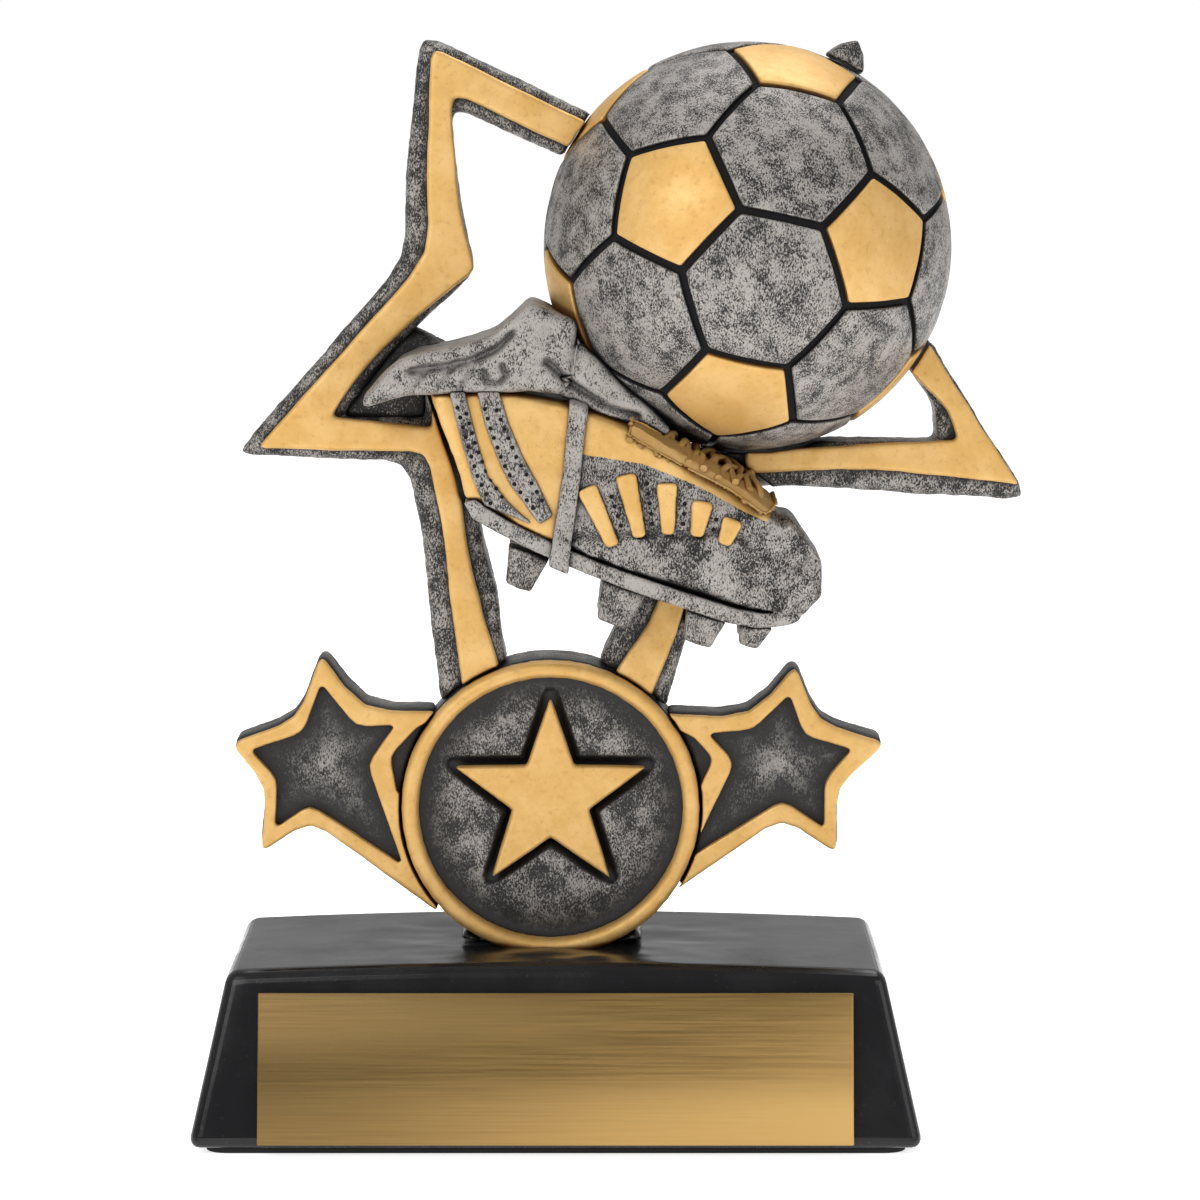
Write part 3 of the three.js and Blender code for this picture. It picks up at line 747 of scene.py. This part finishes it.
class TROPHY_OT_base(bpy.types.Operator):
    """Model the tapered base with its crowned top, rounded edges and rippled lacquer"""

    bl_idname = "trophy.base"
    bl_label = "Base"

    def execute(self, context):
        settings = context.scene.trophy_base
        low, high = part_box("base_block")
        size = high - low
        size.z -= settings.crown
        bpy.ops.mesh.primitive_cube_add(size=1, location=(low + high) / 2, scale=size)
        piece = context.object
        piece.name = "base_block_cast"
        bpy.ops.object.transform_apply(location=True, rotation=False, scale=True)
        piece.data.transform(Matrix.Translation((0, 0, -settings.crown / 2)))
        subdivide(piece, 5)

        plate_low, plate_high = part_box("name_plate")
        lean = (plate_high.y - plate_low.y) / (plate_high.z - plate_low.z)
        half_width, half_depth = size.x / 2, size.y / 2
        side_lean = lean * SIDE_LEAN_SHARE
        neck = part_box("medallion_ring")
        middle = (neck[0].x + neck[1].x) / 2
        for vertex in piece.data.vertices:
            rise = (vertex.co.z - low.z) / size.z
            vertex.co.x *= 1 - side_lean * size.z * rise / half_width
            vertex.co.y *= 1 - lean * size.z * rise / half_depth
        finish_with(
            piece, "BEVEL", width=settings.edge, segments=5, limit_method="ANGLE",
            angle_limit=math.radians(50),
        )
        subdivide(piece, 8)
        for vertex in piece.data.vertices:
            rise = (vertex.co.z - low.z) / size.z
            bow = 1 - (vertex.co.x / half_width) ** 2
            vertex.co.z += settings.crown * bow * rise
            if rise > 0.999:
                away = Vector((vertex.co.x - middle, vertex.co.y * 1.4)).length
                share = math.exp(-((away / RIPPLE_REACH) ** 2))
                coarse, fine = (noise.noise(vertex.co * waves) for waves in RIPPLE_WAVES)
                wave = coarse + 0.5 * fine
                vertex.co.z += settings.ripple * share * (wave - 0.6)
        bpy.ops.object.shade_smooth_by_angle(angle=math.radians(40))
        deliver(piece, paint("gloss black"), "gloss_black", "base_block")
        return {"FINISHED"}


class TROPHY_OT_name_plate(bpy.types.Operator):
    """Break the edges of the name plate, and finish the plate, its film and the felt pad"""

    bl_idname = "trophy.name_plate"
    bl_label = "Name plate and felt"

    def execute(self, context):
        plate = copy_of("name_plate", "name_plate_sheet")
        edge = context.scene.trophy_base.plate_edge
        finish_with(plate, "BEVEL", width=edge, segments=3, limit_method="ANGLE")
        pick(plate)
        bpy.ops.object.shade_smooth_by_angle(angle=math.radians(40))
        deliver(plate, paint("plate gold"), "plate_gold", "name_plate")
        for node, name in (("plate_tape", "tape"), ("felt_pad", "felt")):
            nodes[node].data.materials.clear()
            nodes[node].data.materials.append(paint(name))
        return {"FINISHED"}


class TROPHY_OT_stem(bpy.types.Operator):
    """Recast the black neck under the medallion with soft flowing edges"""

    bl_idname = "trophy.stem"
    bl_label = "Stem"

    def execute(self, context):
        piece = recast("figure_stem", soften=2.5, wobble=1)
        deliver(piece, paint("gloss black"), "gloss_black", "figure_stem")
        return {"FINISHED"}


# ---------------------------------------------------------------- medallion and side stars


class TROPHY_OT_medallion(bpy.types.Operator):
    """Recast the medallion's dished body, its rounded ring and its raised star"""

    bl_idname = "trophy.medallion"
    bl_label = "Medallion"

    def execute(self, context):
        body = recast("medallion_body", grain=0.9, soften=0.4, wobble=0.3, swell=0.1)
        # Black wash and painted shade in the star's groove and towards the ring.
        wash_and_shade_near(body, [("medallion_star", 0.75, STAR_GROOVE_EDGE), ("medallion_ring", 0, 3.6)])
        for vertex in body.data.vertices:
            gap = gap_to("medallion_star", vertex.co)
            share = max(0, min(1, (STAR_GROOVE_EDGE - gap) / STAR_GROOVE_SLOPE))
            vertex.co.y += STAR_GROOVE_DEPTH * MM * share
        deliver(body, paint("panel silver"), "antique_silver", "medallion_body")
        ring = recast("medallion_ring", grain=0.7, soften=0.6, wobble=0.5, crinkle=0.25)
        deliver(ring, paint("satin gold"), "satin_gold", "medallion_ring")
        star = recast("medallion_star", grain=0.6, soften=0.5, wobble=0.3)
        deliver(star, paint("satin gold"), "satin_gold", "medallion_star")
        return {"FINISHED"}


class TROPHY_OT_side_stars(bpy.types.Operator):
    """Recast the two side stars and their gold rims"""

    bl_idname = "trophy.side_stars"
    bl_label = "Side stars"

    def execute(self, context):
        for side in ("left", "right"):
            body = recast(f"{side}_star_body", wobble=0.6, crinkle=0.6, swell=0.15)
            # Black wash and painted shade towards the rim.
            wash_and_shade_near(body, [(f"{side}_star_rim", 0, 4.4)])
            deliver(body, paint("panel silver"), "antique_silver", f"{side}_star_body")
            rim = recast(f"{side}_star_rim", grain=0.6, soften=0.9, wobble=0.4, crinkle=0.2)
            deliver(rim, paint("satin gold"), "satin_gold", f"{side}_star_rim")
        return {"FINISHED"}


# ---------------------------------------------------------------- star frame


class TROPHY_OT_star_frame(bpy.types.Operator):
    """Recast the star frame with worked silver sides and smooth gold faces"""

    bl_idname = "trophy.star_frame"
    bl_label = "Star frame"

    def execute(self, context):
        for node in ("frame_left", "frame_right", "frame_top_tip"):
            soften = 0.4 if node == "frame_top_tip" else 1
            piece = recast(node, soften=soften, wobble=0.9, crinkle=0.8)
            deliver(piece, paint("side silver"), "antique_silver", node)
        web = recast("frame_web", wobble=1.2, crinkle=1.6, swell=0.6)
        deliver(web, paint("dark silver"), "antique_silver", "frame_web")
        for node in ("frame_face_left", "frame_face_right", "frame_face_right_leg"):
            piece = recast(node, grain=0.7, soften=1.1, wobble=0.7, crinkle=0.15)
            deliver(piece, paint("satin gold"), "satin_gold", node)
        return {"FINISHED"}


# ---------------------------------------------------------------- ball


def panel_direction(panel, centre):
    """The way from the ball's centre to the middle of a panel."""
    points = [vertex.co for vertex in panel.data.vertices]
    return (sum(points, Vector()) / len(points) - centre).normalized()


def ball_panels(centre, radius, turn, settings):
    """The 32 panels of a football: an icosahedron with its corners cut off at a third."""
    bpy.ops.mesh.primitive_ico_sphere_add(
        subdivisions=1, radius=radius, location=centre, rotation=turn
    )
    panels = bpy.context.object
    bpy.ops.object.transform_apply(location=True, rotation=True, scale=True)
    bpy.ops.object.mode_set(mode="EDIT")
    bpy.ops.mesh.select_all(action="SELECT")
    bpy.ops.mesh.bevel(offset_type="PERCENT", offset_pct=100 / 3, affect="VERTICES")
    bpy.ops.mesh.select_all(action="SELECT")
    bpy.ops.mesh.select_mode(type="FACE")
    bpy.ops.mesh.inset(thickness=settings.seam_width / 2, use_individual=True)
    bpy.ops.mesh.select_all(action="INVERT")
    bpy.ops.mesh.delete(type="FACE")
    bpy.ops.mesh.select_all(action="DESELECT")
    bpy.ops.mesh.select_face_by_sides(number=5)
    bpy.ops.mesh.separate(type="SELECTED")
    bpy.ops.object.mode_set(mode="OBJECT")
    pentagons = next(thing for thing in bpy.context.selected_objects if thing != panels)
    for thing in (panels, pentagons):
        pick(thing)
        bpy.ops.object.mode_set(mode="EDIT")
        bpy.ops.mesh.select_all(action="SELECT")
        bpy.ops.mesh.poke()
        bpy.ops.mesh.subdivide(number_cuts=settings.cuts)
        bpy.ops.object.mode_set(mode="OBJECT")
        for vertex in thing.data.vertices:
            vertex.co = centre + (vertex.co - centre).normalized() * radius
        finish_with(thing, "SOLIDIFY", thickness=settings.seam_depth * 1.6, offset=-1)
        finish_with(
            thing, "BEVEL", width=settings.panel_edge, segments=4, limit_method="ANGLE",
            angle_limit=math.radians(50),
        )
        dent(thing, 3 * MM, 0.12 * MM)
        bpy.ops.object.shade_smooth()
    return panels, pentagons


class TROPHY_OT_ball(bpy.types.Operator):
    """Model the football: domed panels with rounded edges over a black core"""

    bl_idname = "trophy.ball"
    bl_label = "Ball"

    def execute(self, context):
        settings = context.scene.trophy_ball
        low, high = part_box("ball")
        centre = (low + high) / 2
        radius = (high.z - low.z) / 2 + 0.08 * MM
        names = [f"ball_pentagon_{number:02d}" for number in range(1, 13)]
        ways = {name: panel_direction(nodes[name], centre) for name in names}
        pole = ways[names[0]]
        beside = max((way for way in ways.values() if way != pole), key=pole.dot)
        across = (beside - pole * beside.dot(pole)).normalized()
        turn = Matrix((across, pole.cross(across), pole)).transposed().to_euler()

        hexagons, pentagons = ball_panels(centre, radius, turn, settings)
        bpy.ops.mesh.primitive_ico_sphere_add(
            subdivisions=6, radius=radius - settings.seam_depth, location=centre
        )
        core = context.object
        bpy.ops.object.transform_apply(location=True, rotation=True, scale=True)
        bpy.ops.object.shade_smooth()
        core.data.materials.append(paint("perforation"))
        hexagons.data.materials.append(paint("antique silver"))
        pick(core, hexagons)
        bpy.ops.object.join()
        hexagons.name = "ball_cast"
        deliver(hexagons, None, "antique_silver", "ball")

        pick(pentagons)
        bpy.ops.mesh.separate(type="LOOSE")
        for piece in list(context.selected_objects):
            way = panel_direction(piece, centre)
            node = max(names, key=lambda name: way.dot(ways[name]))
            piece.name = f"{node}_cast"
            deliver(piece, paint("satin gold"), "satin_gold", node)
        return {"FINISHED"}


# ---------------------------------------------------------------- boot


def gild(piece):
    """Marks the heel and instep gold and the forefoot silver, in the skin's gilt attribute."""
    mask = piece.data.attributes.new("gilt", "FLOAT", "POINT")
    for vertex, item in zip(piece.data.vertices, mask.data):
        along, up = boot_place(vertex.co)
        strap = HEEL_GILT_FOOT - HEEL_GILT_LEAN * up
        edge = GILT_EDGE[0][1] if along < GILT_EDGE[0][0] else math.inf
        for (a, low), (b, high) in zip(GILT_EDGE, GILT_EDGE[1:]):
            if a <= along < b:
                edge = low + (high - low) * (along - a) / (b - a)
        above = min(1, (up - edge) / GILT_BLUR + 0.5)
        behind = min(1, (strap - along) / GILT_BLUR + 0.5)
        item.value = max(above, behind, 0)


class TROPHY_OT_boot_upper(bpy.types.Operator):
    """Recast the boot's upper and toe cap with their welt seam and crinkled leather"""

    bl_idname = "trophy.boot_upper"
    bl_label = "Boot upper and toe cap"

    def execute(self, context):
        upper = recast("boot_upper", "boot_toe_cap", soften=2, wobble=0.7, crinkle=0.6)
        carve(upper, WELT_SEAM, 0.3, 0.4)
        carve(upper, TOE_SWIRL, 0.3, 0.3)
        gild(upper)
        deliver(upper, paint("boot paint"), "satin_gold", "boot_upper", "boot_toe_cap")
        return {"FINISHED"}


class TROPHY_OT_boot_collar(bpy.types.Operator):
    """Recast the boot's folded collar and its tongue"""

    bl_idname = "trophy.boot_collar"
    bl_label = "Boot collar and tongue"

    def execute(self, context):
        collar = recast(
            "boot_collar", "boot_tongue", grain=0.8, soften=1.8, wobble=1, crinkle=0.5, swell=0.45
        )
        carve(collar, TONGUE_FURROW, 0.4, 0.9)
        carve(collar, COLLAR_FURROW, 0.45, 0.9)
        carve(collar, COLLAR_CURL, 0.32, 0.7)
        for crease in COLLAR_CREASES:
            carve(collar, crease, 0.3, 0.45)
        deliver(collar, paint("light silver"), "light_silver", "boot_collar", "boot_tongue")
        return {"FINISHED"}


class TROPHY_OT_boot_sole(bpy.types.Operator):
    """Recast the boot's sole and its eight studs"""

    bl_idname = "trophy.boot_sole"
    bl_label = "Boot sole and studs"

    def execute(self, context):
        for node in [name for name in nodes if name.startswith("boot_stud_")]:
            stud = recast(node, grain=0.7, soften=0.7, wobble=0.6, crinkle=0.3, swell=0.12)
            deliver(stud, paint("antique silver"), "antique_silver", node)
        sole = recast("boot_sole", grain=0.8, soften=1, wobble=0.4, crinkle=0.4)
        deliver(sole, paint("light silver"), "antique_silver", "boot_sole")
        return {"FINISHED"}


class TROPHY_OT_boot_trim(bpy.types.Operator):
    """Recast the boot's strap, heel bands and ribs"""

    bl_idname = "trophy.boot_trim"
    bl_label = "Boot strap, bands and ribs"

    def execute(self, context):
        strap = recast("boot_strap", grain=0.6, soften=0.8, wobble=0.4, swell=0.1)
        deliver(strap, paint("light silver"), "light_silver", "boot_strap")
        for node in ("boot_heel_band_1", "boot_heel_band_2"):
            band = recast(node, grain=0.55, soften=0.6, wobble=0.3, crinkle=0.4, swell=0.08)
            deliver(band, paint("antique silver"), "antique_silver", node)
        for node in [name for name in nodes if name.startswith("boot_rib_")]:
            rib = recast(node, grain=0.55, soften=0.8, wobble=0.4, crinkle=0.3, swell=0.12)
            deliver(rib, paint("satin gold"), "satin_gold", node)
        return {"FINISHED"}


def strand(points, thickness, name):
    """A round cord through these points, as a mesh."""
    curve = bpy.data.curves.new(name, "CURVE")
    curve.dimensions = "3D"
    curve.bevel_depth = thickness / 2
    curve.bevel_resolution = 2
    curve.use_fill_caps = True
    line = curve.splines.new("NURBS")
    line.points.add(len(points) - 1)
    for point, place in zip(line.points, points):
        point.co = (*place, 1)
    line.use_endpoint_u = True
    line.order_u = 3
    line.resolution_u = 3
    piece = bpy.data.objects.new(name, curve)
    bpy.context.collection.objects.link(piece)
    pick(piece)
    bpy.ops.object.convert(target="MESH")
    return bpy.context.object


class TROPHY_OT_boot_laces(bpy.types.Operator):
    """Cross lace strands over the instep"""

    bl_idname = "trophy.boot_laces"
    bl_label = "Boot laces"

    def execute(self, context):
        thickness = context.scene.trophy_boot.lace
        bed = recast("boot_laces", grain=0.7, soften=2.4, wobble=0.8, crinkle=0.8, swell=-0.45)
        made = []
        for row in range(LACE_ROWS):
            start = LACE_START + LACE_RUN * row / LACE_ROWS
            for way in (-1, 1):
                points = []
                for step in range(LACE_STEPS + 1):
                    share = step / LACE_STEPS
                    across = way * (share * 2 - 1)
                    angle = across * LACE_REACH
                    along = start + LACE_FORWARD * share - LACE_HANG * abs(across)
                    side = LACE_ARCH_WIDTH * math.sin(angle)
                    guess = on_boot(along, side, LACE_ARCH_FOOT + LACE_ARCH_RISE * math.cos(angle))
                    _, place, normal, _ = bed.closest_point_on_mesh(guess)
                    weave = 0.2 * math.sin(share * 9 + row * 2 + way)
                    lift = thickness * (weave - 0.6 + 1.1 * math.sin(share * math.pi) ** 0.4)
                    points.append(place + normal * lift)
                made.append(strand(points, thickness, f"lace_{row}_{way}"))
        pick(*made, bed)
        bpy.ops.object.join()
        bpy.ops.object.shade_smooth()
        deliver(bed, paint("lace gold"), "satin_gold", "boot_laces")
        return {"FINISHED"}


def along_line(line, spacing):
    """Places at an even spacing along a line of points."""
    left = spacing / 2
    for start, end in zip(line, line[1:]):
        start, end = Vector(start), Vector(end)
        length = (end - start).length
        while left < length:
            yield start.lerp(end, left / length)
            left += spacing
        left -= length


class TROPHY_OT_perforations(bpy.types.Operator):
    """Set rows of small dark discs for the perforations along the heel bands and between the ribs"""

    bl_idname = "trophy.perforations"
    bl_label = "Boot perforations"

    def execute(self, context):
        settings = context.scene.trophy_boot
        skins = [
            thing for thing in context.scene.objects
            if thing.name.startswith(("boot_upper_cast", "boot_heel_band", "boot_rib"))
            and thing.name.endswith("_cast")
        ]
        holes = []
        for line in HEEL_BAND_EDGES + BETWEEN_RIBS:
            for place in along_line(line, settings.hole_spacing / MM):
                origin = on_boot(place.x, -20, place.y)
                hits = [skin.ray_cast(origin, Vector((0, 1, 0))) for skin in skins]
                hits = [hit for hit in hits if hit[0]]
                if not hits:
                    continue
                _, point, normal, _ = min(hits, key=lambda hit: hit[1].y)
                turn = normal.to_track_quat("Z", "Y").to_euler()
                bpy.ops.mesh.primitive_cylinder_add(
                    vertices=8, radius=settings.hole / 2, depth=0.1 * MM, location=point,
                    rotation=turn,
                )
                holes.append(context.object)
        pick(*holes)
        bpy.ops.object.join()
        piece = context.object
        piece.name = "boot_perforations"
        bpy.ops.object.transform_apply(location=True, rotation=True, scale=True)
        deliver(piece, paint("perforation"), "antique_silver")
        return {"FINISHED"}


# ---------------------------------------------------------------- stage


def soft_light(name, place, size, power):
    """A round lamp that faces the trophy."""
    light = bpy.data.lights.new(name, "AREA")
    light.shape = "DISK"
    light.size = size
    light.energy = power
    lamp = bpy.data.objects.new(name, light)
    lamp.location = place
    target = Vector((0, 0, 60 * MM))
    lamp.rotation_euler = (target - Vector(place)).to_track_quat("-Z", "Y").to_euler()
    bpy.context.collection.objects.link(lamp)


class TROPHY_OT_stage(bpy.types.Operator):
    """Set up the pale floor, the soft studio lights and the camera"""

    bl_idname = "trophy.stage"
    bl_label = "Stage"

    def execute(self, context):
        settings = context.scene.trophy_stage
        bpy.ops.mesh.primitive_plane_add(size=8)
        floor = context.object
        floor.name = "floor"
        subdivide(floor, 8)
        board = Paint("floor board", 0.9)
        paper = board.grain(60, 3)
        off_white = [channel * 0.985 for channel in settings.floor]
        board.colour(board.mix(paper, off_white, settings.floor))
        board.shader.inputs["Emission Color"].default_value = (1, 1, 1, 1)
        board.shader.inputs["Emission Strength"].default_value = settings.glow
        floor.data.materials.append(board.material)

        world = bpy.data.worlds.new("white surround")
        world.use_nodes = True
        tree = world.node_tree
        background = tree.nodes["Background"]
        way = tree.nodes.new("ShaderNodeSeparateXYZ")
        tree.links.new(tree.nodes.new("ShaderNodeTexCoord").outputs["Generated"], way.inputs[0])
        room = tree.nodes.new("ShaderNodeMapRange")
        tree.links.new(way.outputs["Y"], room.inputs["Value"])
        room.inputs["From Min"].default_value = -0.7
        room.inputs["From Max"].default_value = 0.4
        room.inputs["To Min"].default_value = settings.room
        room.inputs["To Max"].default_value = settings.sky
        seen = tree.nodes.new("ShaderNodeLightPath").outputs["Is Camera Ray"]
        bright = tree.nodes.new("ShaderNodeMath")
        bright.operation = "MAXIMUM"
        tree.links.new(seen, bright.inputs[0])
        tree.links.new(room.outputs["Result"], bright.inputs[1])
        tree.links.new(bright.outputs["Value"], background.inputs["Strength"])
        background.inputs["Color"].default_value = (1, 1, 1, 1)
        context.scene.world = world
        context.scene.view_settings.view_transform = "Standard"

        soft_light("key_light", (-0.35, -0.5, 0.45), 0.6, settings.key)
        soft_light("fill_light", (0.5, -0.45, 0.3), 0.5, settings.fill)
        soft_light("top_light", (0.1, 0.2, 0.6), 0.5, settings.top)

        camera = bpy.data.cameras.new("camera")
        camera.lens = settings.lens
        camera.sensor_width = 36
        camera.clip_start = 0.01
        stand = bpy.data.objects.new("camera", camera)
        stand.location = settings.camera
        stand.rotation_euler = (math.pi / 2 - settings.look_down, 0, 0)
        context.collection.objects.link(stand)
        context.scene.camera = stand
        return {"FINISHED"}


# ---------------------------------------------------------------- sidebar and registration

PIECES = (
    TROPHY_OT_base,
    TROPHY_OT_name_plate,
    TROPHY_OT_stem,
    TROPHY_OT_medallion,
    TROPHY_OT_side_stars,
    TROPHY_OT_star_frame,
    TROPHY_OT_ball,
    TROPHY_OT_boot_upper,
    TROPHY_OT_boot_collar,
    TROPHY_OT_boot_sole,
    TROPHY_OT_boot_trim,
    TROPHY_OT_boot_laces,
    TROPHY_OT_perforations,
    TROPHY_OT_stage,
)
SETTINGS = {
    "trophy_casting": TrophyCasting,
    "trophy_base": TrophyBase,
    "trophy_ball": TrophyBall,
    "trophy_boot": TrophyBoot,
    "trophy_colours": TrophyColours,
    "trophy_stage": TrophyStage,
}


class TROPHY_PT_sidebar(bpy.types.Panel):
    """The trophy's sizes and colours, and a button for each of its pieces"""

    bl_idname = "TROPHY_PT_sidebar"
    bl_label = "Star Trophy"
    bl_space_type = "VIEW_3D"
    bl_region_type = "UI"
    bl_category = "Star Trophy"

    def draw(self, context):
        for name, group in SETTINGS.items():
            box = self.layout.box()
            box.label(text=name.removeprefix("trophy_").capitalize())
            for key in group.__annotations__:
                box.prop(getattr(context.scene, name), key)
        for piece in PIECES:
            self.layout.operator(piece.bl_idname)


def register():
    for group in SETTINGS.values():
        bpy.utils.register_class(group)
    for name, group in SETTINGS.items():
        setattr(bpy.types.Scene, name, PointerProperty(type=group))
    for piece in PIECES:
        bpy.utils.register_class(piece)
    bpy.utils.register_class(TROPHY_PT_sidebar)


def unregister():
    bpy.utils.unregister_class(TROPHY_PT_sidebar)
    for piece in reversed(PIECES):
        bpy.utils.unregister_class(piece)
    for name, group in SETTINGS.items():
        delattr(bpy.types.Scene, name)
        bpy.utils.unregister_class(group)


def main():
    register()
    for piece in PIECES:
        _, name = piece.bl_idname.split(".")
        getattr(bpy.ops.trophy, name)()


if __name__ == "__main__":
    main()
